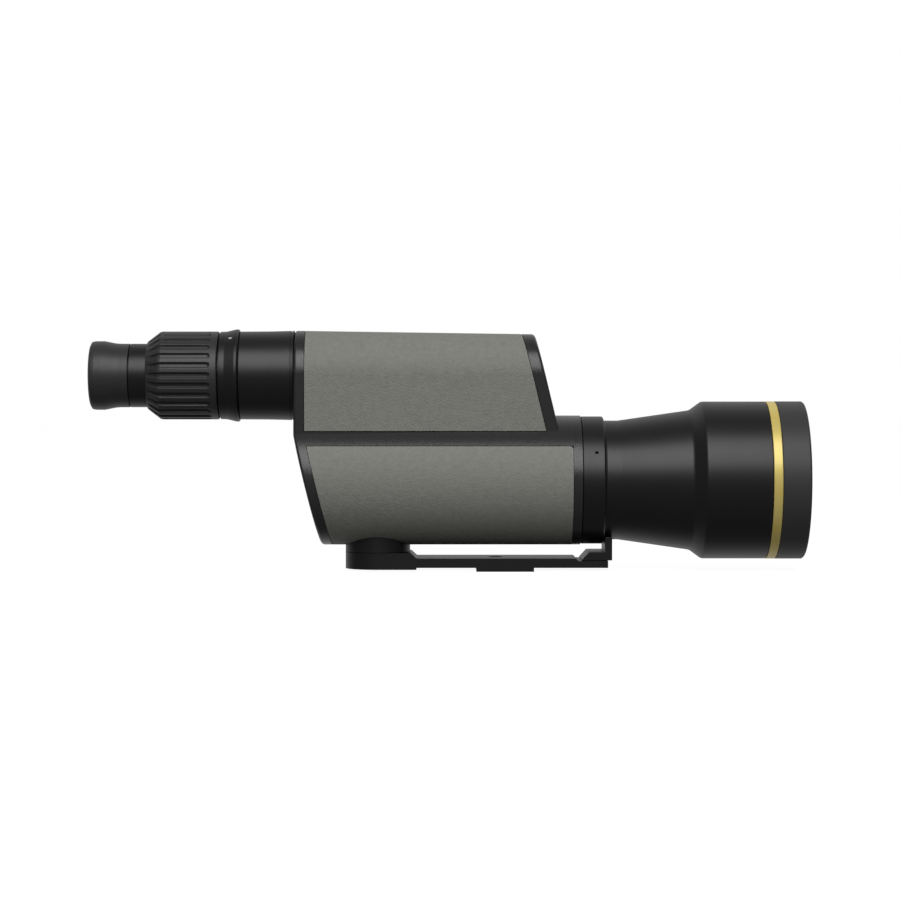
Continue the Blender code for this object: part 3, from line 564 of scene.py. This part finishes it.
def upper_form():
    """The tapering arch, upright at the rear and slanted in front, both ends rounded at the rim."""
    rows = []
    for inset, advance in edge_rounding():
        rear, radius = REAR_X + advance, arch_radius(REAR_X) - inset
        crown = [(rear, radius * y, EYEPIECE_Z + radius * z) for y, z in half_round()]
        rows.append([(rear, -radius, ARCH_FOOT_Z), *crown, (rear, radius, ARCH_FOOT_Z)])
    for inset, advance in reversed(edge_rounding()):
        row = []
        for y, z in [(-1, None), *half_round(), (1, None)]:
            radius = arch_radius(FRONT_POINT.x / MM) - inset
            height = ARCH_FOOT_Z if z is None else EYEPIECE_Z + radius * z
            front = FRONT_POINT.x / MM - math.tan(SLANT) * (height - EYEPIECE_Z) - advance / math.cos(SLANT)
            radius = arch_radius(front) - inset
            row.append((front, radius * y, height if z is None else EYEPIECE_Z + radius * z))
        rows.append(row)
    arch = lofted(rows)
    slice_off(arch, REAR_POINT + WALL_NORMAL * SLIVER * MM, -WALL_NORMAL)
    return arch


def casting_shell():
    """The outer form: the lower tube and the arch joined."""
    return combine(solid(lower_form()), [solid(upper_form())], "UNION")


def bed_cutters():
    """Solids for the two shallow beds that the inlays lie in."""
    trough = turned(
        [(-110, BODY_RADIUS - BED_DEPTH), (-110, BODY_RADIUS + 4), (PANEL_FRONT_X + GAP, BODY_RADIUS + 4),
         (PANEL_FRONT_X + GAP, BODY_RADIUS - BED_DEPTH)],
        OBJECTIVE_AXIS,
    )
    slice_off(trough, UP * (TROUGH_TOP_Z + GAP) * MM, UP)
    slice_off(trough, REAR_POINT + WALL_NORMAL * (BEZEL - GAP) * MM, -WALL_NORMAL)
    saddle = solid(arch_block(PANEL_START_X - GAP, ARCH_END_X, 4, PANEL_BOTTOM_Z - GAP))
    core = solid(arch_block(PANEL_START_X - 5, ARCH_END_X + 5, -BED_DEPTH, PANEL_BOTTOM_Z - 5))
    saddle = take(combine(saddle, [core]))
    slice_off(saddle, FRONT_POINT - WALL_NORMAL * (FRONT_BEZEL - GAP) * MM, WALL_NORMAL)
    return [solid(trough), solid(saddle)]


def mirror_walls():
    """For each slanted wall: its centre, outward direction, side, cover and opening radii."""
    rear = (REAR_POINT, -WALL_NORMAL, "rear", *REAR_COVER)
    front = (FRONT_POINT, WALL_NORMAL, "front", *FRONT_COVER)
    return rear, front


def make_body():
    """The hollow casting with its bores, seats and inlay beds, and two fine grooves at the neck."""
    housing = casting_shell()
    inner, front = BODY_RADIUS - VOID_INSET, NECK_X + 5
    lower_void = turned([(-120, 0), (-120, inner), (front, inner), (front, 0)], OBJECTIVE_AXIS, steps=96)
    slice_off(lower_void, REAR_POINT + WALL_NORMAL * WALL * MM, -WALL_NORMAL)
    upper_void = arch_block(REAR_X + 4.2, ARCH_END_X, -VOID_INSET, 48, 48)
    slice_off(upper_void, FRONT_POINT - WALL_NORMAL * WALL * MM, WALL_NORMAL)
    void = combine(solid(lower_void), [solid(upper_void)], "UNION")
    cutters = [void, rod(*NECK_BORE, OBJECTIVE_AXIS), rod(*EYE_BORE)]
    for point, outward, _, cover_radius, opening in mirror_walls():
        cutters.append(rod(-COVER_SEAT, 5, cover_radius + COVER_GAP, point, outward))
        cutters.append(rod(-12, 0, opening, point, outward, 96))
    cutters += bed_cutters()
    combine(housing, cutters)
    grooves = []
    for offset in GROOVE_OFFSETS:
        start, end = PANEL_FRONT_X + offset, PANEL_FRONT_X + offset + GROOVE_WIDTH
        floor, top = BODY_RADIUS - GROOVE_DEPTH, BODY_RADIUS + 2
        groove = turned([(start, floor), (start, top), (end, top), (end, floor)], OBJECTIVE_AXIS)
        slice_off(groove, UP * GROOVE_TOP_Z * MM, UP)
        grooves.append(solid(groove))
    combine(housing, grooves)
    finish_piece(take(housing), "body_casting", PAINT, "scope_body", "body_housing", 32)


def make_panels():
    """The two rubber inlays: a trough below and a saddle above."""
    floor = BODY_RADIUS - INLAY_THICKNESS
    trough = turned([(-110, floor), (-110, BODY_RADIUS), (50, BODY_RADIUS), (50, floor)], OBJECTIVE_AXIS)
    slice_off(trough, UP * (TROUGH_TOP_Z + 2) * MM, UP)
    slice_off(trough, REAR_POINT + WALL_NORMAL * BEZEL * MM, -WALL_NORMAL)
    side = [(-120, -5), (PANEL_FRONT_X, -5), (PANEL_FRONT_X, TROUGH_TOP_Z, INLAY_CORNER),
            (-120, TROUGH_TOP_Z)]
    trough = combine(solid(trough), [solid(prism(side, -40, 40, True))], "INTERSECT")
    combine(trough, [rod(0, 30, BOSS_RADIUS + 0.2, FORWARD * BOSS_X * MM, UP)])
    trough = take(trough)
    soften(trough, INLAY_EDGE, 2, 50)
    finish_piece(trough, "lower_inlay", ARMOR, "scope_body", "lower_armor")
    saddle = solid(arch_block(PANEL_START_X, ARCH_END_X, 0, PANEL_BOTTOM_Z))
    core = solid(arch_block(PANEL_START_X - 5, ARCH_END_X + 5, -INLAY_THICKNESS, PANEL_BOTTOM_Z - 5))
    saddle = take(combine(saddle, [core]))
    slice_off(saddle, FRONT_POINT - WALL_NORMAL * FRONT_BEZEL * MM, WALL_NORMAL)
    soften(saddle, INLAY_EDGE, 2, 50)
    finish_piece(saddle, "upper_inlay", ARMOR, "scope_body", "upper_armor")


def socket_screw(name, at, along, head, depth, body, node, steps=48):
    """A hexagon-socket screw: its head's outer face at a point, its shank running along a direction."""
    outline = [(0.55 * depth, 0), (0.55 * depth, 0.46 * head), (0.06 * depth, 0.48 * head, 0.05),
               (0.02 * depth, 0.6 * head, 0.06), (0.1 * depth, head, 0.12), (depth, head, 0.05), (depth, 0)]
    bm = turned(outline, at, along, steps, closed=False)
    finish_piece(bm, name, STEEL, body, node, 50)


def make_mirror_walls():
    """The round covers on the slanted walls and their screws."""
    for point, outward, side, radius, _ in mirror_walls():
        screws = [f"{side}_cover_screw_{k}" for k in (1, 2, 3, 4)]
        heads = [middle(name) for name in screws]
        outline = [(-COVER_THICKNESS, 0), (-COVER_THICKNESS, radius), (-0.3, radius, 0.1),
                   (0, radius - 0.4, 0.2), (0, 0)]
        plate = solid(turned(outline, point, outward, closed=False))
        holes = []
        for centre in heads:
            flat = centre - outward * (centre - point).dot(outward)
            holes.append(rod(-1.3, 2, 1.5, flat, outward, 48))
            holes.append(rod(-4, 2, 0.9, flat, outward, 24))
        combine(plate, holes)
        finish_piece(take(plate), side + "_wall_cover", PAINT, "scope_body", side + "_cover", 32)
        for name, centre in zip(screws, heads):
            flat = centre - outward * ((centre - point).dot(outward) + 0.1 * MM)
            socket_screw(name + "_head", flat, -outward, 1.2, 0.9, "scope_body", name)


# ---------------------------------------------------------------- objective end


def lens_face(x, bulge, radius, steps):
    """A domed glass face as (along, out) points from its middle to its rim."""
    return [(x + bulge * (1 - (k / steps) ** 2), radius * k / steps) for k in range(steps + 1)]


def make_objective():
    """The flared barrel, its collar, the gold ring, the hood and the front lens."""
    barrel = turned(
        [(26.6, 24.2), (26.6, 26.0), (43.65, 26.0), (43.65, 26.6, 0.1), (44.2, 26.35, 0.2), (50.0, 26.35, 6),
         (81.7, 30.95, 3.5), (87.0, 34.8, 2.5), (115.1, 34.8, 0.15), (115.35, 34.5, 0.1),
         (115.35, 34.0), (119.7, 34.0), (119.7, 32.8), (124.0, 32.8), (124.0, 31.6), (98.0, 31.6),
         (98.0, 30.0), (81.0, 28.4), (45.0, 24.2)],
        OBJECTIVE_AXIS,
    )
    finish_piece(barrel, "flared_barrel", SATIN, "scope_body", "objective_barrel")
    start = span("barrel_collar", 0)[0]
    outline = [(start, 26.4), (start, 28.2, 0.2), (43.0, 28.2, 0.45), (43.5, 27.6, 0.15), (43.5, 26.4)]
    collar = solid(turned(outline, OBJECTIVE_AXIS))
    holes, screws = [], [f"collar_set_screw_{k}" for k in (1, 2, 3)]
    for name in screws:
        outward = middle(name) - OBJECTIVE_AXIS
        outward.x = 0
        at = OBJECTIVE_AXIS + FORWARD * middle(name).x
        holes.append(rod(20, 30, 0.8, at, outward, 32))
        grub = turned([(26.45, 0), (26.45, 0.55), (26.8, 0.55, 0.08), (26.8, 0.3), (26.6, 0.3), (26.6, 0)],
                      at, outward, 32, closed=False)
        finish_piece(grub, name + "_grub", STEEL, "scope_body", name)
    combine(collar, holes)
    finish_piece(take(collar), "neck_collar", SATIN, "scope_body", "barrel_collar", 30)
    ring = turned(
        [(115.5, 34.4), (115.5, 34.7, 0.12), (115.7, 34.85, 0.12), (119.2, 34.85, 0.12),
         (119.4, 34.7, 0.12), (119.4, 34.4)],
        OBJECTIVE_AXIS,
    )
    finish_piece(ring, "gold_ring", GOLD, "scope_body", "accent_ring")
    traps = []
    for k in range(9):
        traps += [(131.0 - 0.72 * k, 32.6 - 0.02 * k), (130.64 - 0.72 * k, 32.15)]
    hood = turned(
        [(119.6, 34.4), (119.6, 34.7, 0.1), (119.8, 34.88, 0.1), (131.3, 34.88, 0.6), (132.0, 34.3, 0.4),
         (132.0, 33.0, 0.3), (131.4, 32.6, 0.2), *traps, (124.3, 32.2), (124.3, 33.1), (120.0, 33.1)],
        OBJECTIVE_AXIS,
    )
    finish_piece(hood, "front_hood", HOOD, "scope_body", "hood_ring")
    faces = lens_face(108.3, -1.0, 31.3, 24) + lens_face(110.6, 2.4, 31.3, 24)[::-1]
    finish_piece(turned(faces, OBJECTIVE_AXIS, closed=False), "front_element", GLASS, "scope_body",
                 "objective_lens_front", 60)
    grooves = []
    for k in range(5):
        grooves += [(114.6 - 0.7 * k, 30.0), (114.25 - 0.7 * k, 30.35)]
    keeper = turned([(110.9, 31.3), (115.0, 31.3, 0.1), (115.0, 30.3, 0.2), *grooves, (110.9, 30.0)],
                    OBJECTIVE_AXIS)
    finish_piece(keeper, "front_element_keeper", HOOD, "scope_body", "objective_retaining_ring")


# ---------------------------------------------------------------- eyepiece end


FLUTES, FLUTE_DEPTH, FLUTE_HALF_WIDTH, FLUTE_SIDE = 27, 1.1, 1.2, 0.4
FLUTE_END_X, FLUTE_START_X, FLUTE_RUN_IN = -130.6, -158.2, 4.5
GRIP_MIDDLE_RADIUS, GRIP_LINING_RADIUS, FLUTED_FROM_RADIUS = 19.2, 15.65, 14.9
STEPS_PER_FLUTE, FLUTE_STEP, NOSE_STEP = 18, 0.5, 0.9


def flute_depth(x, angle):
    """How far the grip's surface is sunk at a station and angle, for round-ended flutes."""
    pitch = math.tau / FLUTES
    off = (angle / pitch + 0.5) % 1 - 0.5
    distance = math.hypot(off * pitch * GRIP_MIDDLE_RADIUS, max(0, x - FLUTE_END_X))
    share = min(1, max(0, (FLUTE_HALF_WIDTH - distance) / FLUTE_SIDE))
    nose = min(1, max(0, (x - FLUTE_START_X) / FLUTE_RUN_IN))
    return FLUTE_DEPTH * nose * share * share * (3 - 2 * share)


def grip_outline():
    """The grip's outer side with stations close enough for its flutes, then its bore."""
    outer = rounded([(-157.8, 14.35), (-157.8, 14.95, 0.3), (-152.2, 19.2, 1.0), (-151.0, 19.46, 1.5),
                     (-126.7, 19.46, 0.3), (-126.3, 19.1, 0.2), (-126.3, GRIP_LINING_RADIUS)], steps=4)[1:-1]
    stations = []
    for first, second in zip(outer, outer[1:]):
        step = FLUTE_STEP if second.x - first.x > 10 else NOSE_STEP
        count = max(1, round((second - first).length / step))
        stations += [tuple(first.lerp(second, k / count)) for k in range(count)]
    stations.append(tuple(outer[-1]))
    return stations + [(-126.3, GRIP_LINING_RADIUS), (-151.5, GRIP_LINING_RADIUS), (-151.5, 14.35),
                       (-157.8, 14.35)]


def make_grip():
    """The ribbed focus ring: turned with many stations, then its flutes sunk."""
    bm = turned(grip_outline(), steps=FLUTES * STEPS_PER_FLUTE)
    for vert in bm.verts:
        out = Vector((0, vert.co.y, vert.co.z - EYEPIECE_AXIS.z))
        radius = out.length / MM
        if radius > FLUTED_FROM_RADIUS and abs(radius - GRIP_LINING_RADIUS) > 0.05:
            angle = math.atan2(out.z, -out.y)
            vert.co -= out.normalized() * flute_depth(vert.co.x / MM, angle) * MM
    finish_piece(bm, "focus_grip", RUBBER, "focus_ring", "focus_ring", 60)


def make_eyepiece():
    """The eyecup, the ocular, the power ring with its mark, the fixed tube and the eye lens."""
    eyecup = turned(
        [(-183.0, 13.5, 0.5), (-182.3, 14.95, 0.9), (-180.5, 15.2, 1.5), (-176.9, 15.2, 2.0),
         (-171.9, 14.22, 3.0), (-169.6, 14.07, 2.0), (-165.75, 14.07, 0.25), (-165.75, 13.05),
         (-181.0, 13.05), (-181.0, 11.5), (-182.0, 11.5, 0.3), (-183.0, 12.6, 0.5)]
    )
    finish_piece(eyecup, "rubber_eyecup", RUBBER, "eyecup", "eyecup")
    barrel = turned(
        [(-180.6, 11.2), (-180.6, 12.0, 0.15), (-165.3, 12.0), (-165.3, 14.05, 0.2), (-155.5, 14.05),
         (-155.5, 12.95), (-153.7, 12.95), (-153.7, 13.85), (-134.0, 13.85), (-134.0, 12.3), (-163.0, 12.3),
         (-163.0, 10.2), (-171.3, 10.2), (-171.3, 11.2)]
    )
    finish_piece(barrel, "ocular_tube", SATIN, "ocular", "ocular_barrel")
    power = turned(
        [(-125.6, 17.1), (-125.6, 19.35, 0.25), (-123.0, 19.4, 3.0), (-118.7, 20.4, 1.5),
         (-117.6, 20.45, 0.5), (-117.2, 20.0, 0.2), (-117.2, 17.1)]
    )
    dot = middle("power_index_dot") - EYEPIECE_AXIS
    dot_x, dot.x = dot.x, 0
    at = EYEPIECE_AXIS + FORWARD * dot_x
    screw = middle("power_ring_screw")
    screw_at = EYEPIECE_AXIS + FORWARD * screw.x
    power = combine(solid(power), [rod(18.3, 22, 1.0, at, dot, 48), rod(10, 25, 1.8, screw_at, -UP, 48)])
    finish_piece(take(power), "power_collar", SATIN, "power_ring", "power_ring", 30)
    mark = turned([(18.7, 0), (18.7, 0.93), (19.75, 0.93, 0.1), (19.85, 0.6, 0.1), (19.85, 0)], at, dot, 48,
                  closed=False)
    finish_piece(mark, "index_mark", ENAMEL, "power_ring", "power_index_dot", 60)
    socket_screw("power_grub", screw_at - UP * 19.2 * MM, UP, 1.5, 1.2, "power_ring", "power_ring_screw")
    tube = turned(
        [(-151.0, 14.15), (-151.0, 15.3), (-126.0, 15.3), (-126.0, 16.8), (-116.9, 16.8),
         (-116.9, 19.2, 0.1), (-116.6, 19.45, 0.15), (-104.0, 19.52, 8), (-94.3, 19.75, 0.08),
         (-94.2, 19.45), (-93.8, 19.45), (-93.7, 19.76, 0.08), (-93.0, 19.78), (-93.0, 16.6),
         (-88.8, 16.6), (-88.8, 15.3), (-125.4, 15.3), (-125.4, 14.15)]
    )
    finish_piece(tube, "eyepiece_sleeve", SATIN, "scope_body", "eyepiece_tube")
    faces = lens_face(-176.5, -0.8, 10.9, 16) + lens_face(-173.0, 1.2, 10.9, 16)[::-1]
    finish_piece(turned(faces, closed=False, steps=96), "eye_element", GLASS, "ocular", "eye_lens", 60)
    keeper = turned([(-179.6, 10.3, 0.1), (-179.6, 10.9, 0.1), (-177.9, 10.9), (-177.9, 9.8)], steps=128)
    finish_piece(keeper, "eye_element_keeper", HOOD, "ocular", "ocular_retaining_ring")


# ---------------------------------------------------------------- foot


# The pad's half length, how far the arm stands above the pad's face behind and beside it
PAD_HALF_LENGTH, HEEL_RISE, ARM_RISE, HEEL_FRONT_X = 12.63, 0.85, 1.7, -38.9
SADDLE_HALF_WIDTH, SADDLE_RADIUS, FOOT_EDGE = 13.2, 27.5, 0.3


def make_foot():
    """The flat foot with its pad, the round boss, the saddle and their screws."""
    half = BOSS_RADIUS
    end_x, seam_z = span("foot_arm", 0)[1], span("foot_arm", 2)[1]
    around = [math.pi / 2 + math.pi * k / 64 for k in range(65)]
    outline = [(BOSS_X + half * math.cos(a), half * math.sin(a)) for a in around]
    outline += [(end_x, -half, 0.8), (end_x, half, 0.8)]
    arm = solid(prism(outline, 0, seam_z))
    slope = [(-43.9, 10.4), (-38.9, 5.8), (31.1, 5.8), (32.2, 4.7), (50, 4.7), (50, 10.4)]
    ramp = prism(slope, -20, 20, True)
    place = FORWARD * BOSS_X * MM
    cutters = [
        solid(ramp),
        brick((-80, -20, -2), (HEEL_FRONT_X, 20, HEEL_RISE)),
        brick((HEEL_FRONT_X - 0.1, -20, -2), (-PAD_HALF_LENGTH, 20, ARM_RISE)),
        brick((PAD_HALF_LENGTH, -20, -2), (50, 20, ARM_RISE)),
        rod(-5, 15, TRIPOD_HOLE_RADIUS, FORWARD * TRIPOD_HOLE_X * MM, UP, 64),
        rod(-2, 4.3, 4.6, place, UP, 64),
        rod(4, 9, 3.0, place, UP, 64),
    ]
    for name in ("saddle_screw_left", "saddle_screw_right"):
        at = middle(name)
        at.z = 0
        cutters += [rod(0, 2.9, 2.5, at, UP, 48), rod(2, 6, 1.5, at, UP, 48)]
        socket_screw(name + "_head", at + UP * 1.8 * MM, UP, 2.2, 0.8, "scope_body", name)
    arm = take(combine(arm, cutters))
    soften(arm, FOOT_EDGE, 3, 40)
    finish_piece(arm, "mounting_foot", SATIN, "scope_body", "foot_arm")
    socket_screw("foot_bolt", place + UP * 1.3 * MM, UP, 4.3, 2.7, "scope_body", "foot_screw", 64)
    boss = solid(turned([(seam_z + 0.15, 0), (seam_z + 0.15, half, 0.15), (30, half), (30, 0)], place, UP,
                        closed=False))
    combine(boss, [rod(-120, 60, BODY_RADIUS - 1.0, OBJECTIVE_AXIS), rod(7, 20, 3.0, place, UP, 64)])
    finish_piece(take(boss), "round_boss", SATIN, "scope_body", "mount_boss", 30)
    ramped = [(33.5, 4.9, 0.2), (47.0, 4.9, 0.2), (47.0, 15.1)]
    ramped += [(43.85, 15.1), (43.85, 8.6), (36.9, 8.6, 0.6)]
    block = solid(prism(ramped, -SADDLE_HALF_WIDTH, SADDLE_HALF_WIDTH, True))
    block = take(combine(block, [rod(40, 50, SADDLE_RADIUS, OBJECTIVE_AXIS)]))
    soften(block, FOOT_EDGE, 3, 40)
    finish_piece(block, "barrel_saddle", SATIN, "scope_body", "saddle_block")


# ---------------------------------------------------------------- CAD nodes that stay as they are

KEPT = {
    "objective_baffle": HOOD,
    "lens_spacer_rear": HOOD,
    "lens_spacer_front": HOOD,
    "objective_lens_rear": GLASS,
    "objective_lens_middle": GLASS,
    "front_erector_lens": GLASS,
    "rear_erector_lens": GLASS,
    "field_lens": GLASS,
    "rear_mirror": SILVER,
    "front_mirror": SILVER,
    "rear_mirror_carrier": ALUMINIUM,
    "front_mirror_carrier": ALUMINIUM,
    "cam_sleeve": BRASS,
    "front_erector_cell": BRASS,
    "rear_erector_cell": BRASS,
    "front_erector_pin": STEEL,
    "rear_erector_pin": STEEL,
    "guide_tube": HOOD,
    "ocular_oring": RUBBER,
    "ocular_spacer": HOOD,
    "eyecup_guide": ALUMINIUM,
    "saddle_pad": RUBBER,
}


def dress_kept_nodes():
    """Gives the nodes that stay as they are their finishes."""
    for node, material in KEPT.items():
        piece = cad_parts[node]
        for slot in piece.material_slots:
            slot.material = material


# ---------------------------------------------------------------- studio


# Metres
CAMERA_AT, CAMERA_AIM = Vector((-0.0289, -1.197, 0.0804)), Vector((-0.02418, 0, 0.05314))
LAMP_AT, LAMP_AIM, LAMP_SIZE, LAMP_POWER = (-0.02, -1.15, 1.10), (-0.02, 0, 0.06), (1.0, 1.25), 15.5


def make_camera():
    """A long lens from the side, a little above the foot."""
    data = bpy.data.cameras.new("camera")
    data.lens = 108
    data.sensor_width = 36
    camera = bpy.data.objects.new("camera", data)
    bpy.context.scene.collection.objects.link(camera)
    camera.location = CAMERA_AT
    camera.rotation_euler = (CAMERA_AIM - CAMERA_AT).to_track_quat("-Z", "Y").to_euler()
    bpy.context.scene.camera = camera


def make_softbox():
    """One large rectangular lamp high in front, aimed at the object."""
    data = bpy.data.lights.new("key_softbox", "AREA")
    data.shape = "RECTANGLE"
    data.size, data.size_y = LAMP_SIZE
    data.energy = LAMP_POWER
    lamp = bpy.data.objects.new("key_softbox", data)
    bpy.context.scene.collection.objects.link(lamp)
    lamp.location = LAMP_AT
    lamp.rotation_euler = (Vector(LAMP_AIM) - Vector(LAMP_AT)).to_track_quat("-Z", "Y").to_euler()


def make_world():
    """White to the eye; for lighting, a white cove behind and a dark room in front and below."""
    world = bpy.data.worlds.new("studio")
    bpy.context.scene.world = world
    world.use_nodes = True
    tree = world.node_tree
    tree.nodes.clear()
    ways = tree.nodes.new("ShaderNodeTexCoord")
    parts = tree.nodes.new("ShaderNodeSeparateXYZ")
    tree.links.new(ways.outputs["Generated"], parts.inputs[0])
    fade = tree.nodes.new("ShaderNodeMapRange")
    fade.interpolation_type = "SMOOTHSTEP"
    fade.inputs["From Min"].default_value = 0.05
    fade.inputs["From Max"].default_value = 0.85
    fade.inputs["To Min"].default_value = 0.11
    fade.inputs["To Max"].default_value = 0.72
    tree.links.new(parts.outputs["Y"], fade.inputs["Value"])
    room = tree.nodes.new("ShaderNodeBackground")
    tree.links.new(fade.outputs["Result"], room.inputs["Strength"])
    cove = tree.nodes.new("ShaderNodeBackground")
    cove.inputs["Color"].default_value = (1, 1, 1, 1)
    path = tree.nodes.new("ShaderNodeLightPath")
    choose = tree.nodes.new("ShaderNodeMixShader")
    tree.links.new(path.outputs["Is Camera Ray"], choose.inputs[0])
    tree.links.new(room.outputs[0], choose.inputs[1])
    tree.links.new(cove.outputs[0], choose.inputs[2])
    out = tree.nodes.new("ShaderNodeOutputWorld")
    tree.links.new(choose.outputs[0], out.inputs["Surface"])


def make_floor():
    """A pale floor just under the pad, bright by itself so that the ground reads as white."""
    bm = bmesh.new()
    bmesh.ops.create_grid(bm, x_segments=1, y_segments=1, size=6.0)
    mesh = bpy.data.meshes.new("floor")
    bm.to_mesh(mesh)
    bm.free()
    floor = bpy.data.objects.new("floor", mesh)
    floor.location.z = CAD_BOX[0][2] - 0.02 * MM
    bpy.context.scene.collection.objects.link(floor)
    pale = Finish("pale_floor", (0.22, 0.22, 0.22), 0.9, specular_ior_level=0.0)
    pale.shader.inputs["Emission Color"].default_value = (1, 1, 1, 1)
    pale.shader.inputs["Emission Strength"].default_value = 0.95
    mesh.materials.append(pale.material)
    floor.visible_glossy = False
    floor.visible_diffuse = False


def make_studio():
    """The room, the floor and the lamp."""
    bpy.context.scene.view_settings.view_transform = "Standard"
    make_world()
    make_floor()
    make_softbox()


make_camera()
make_studio()
make_body()
make_panels()
make_mirror_walls()
make_objective()
make_grip()
make_eyepiece()
make_foot()
dress_kept_nodes()
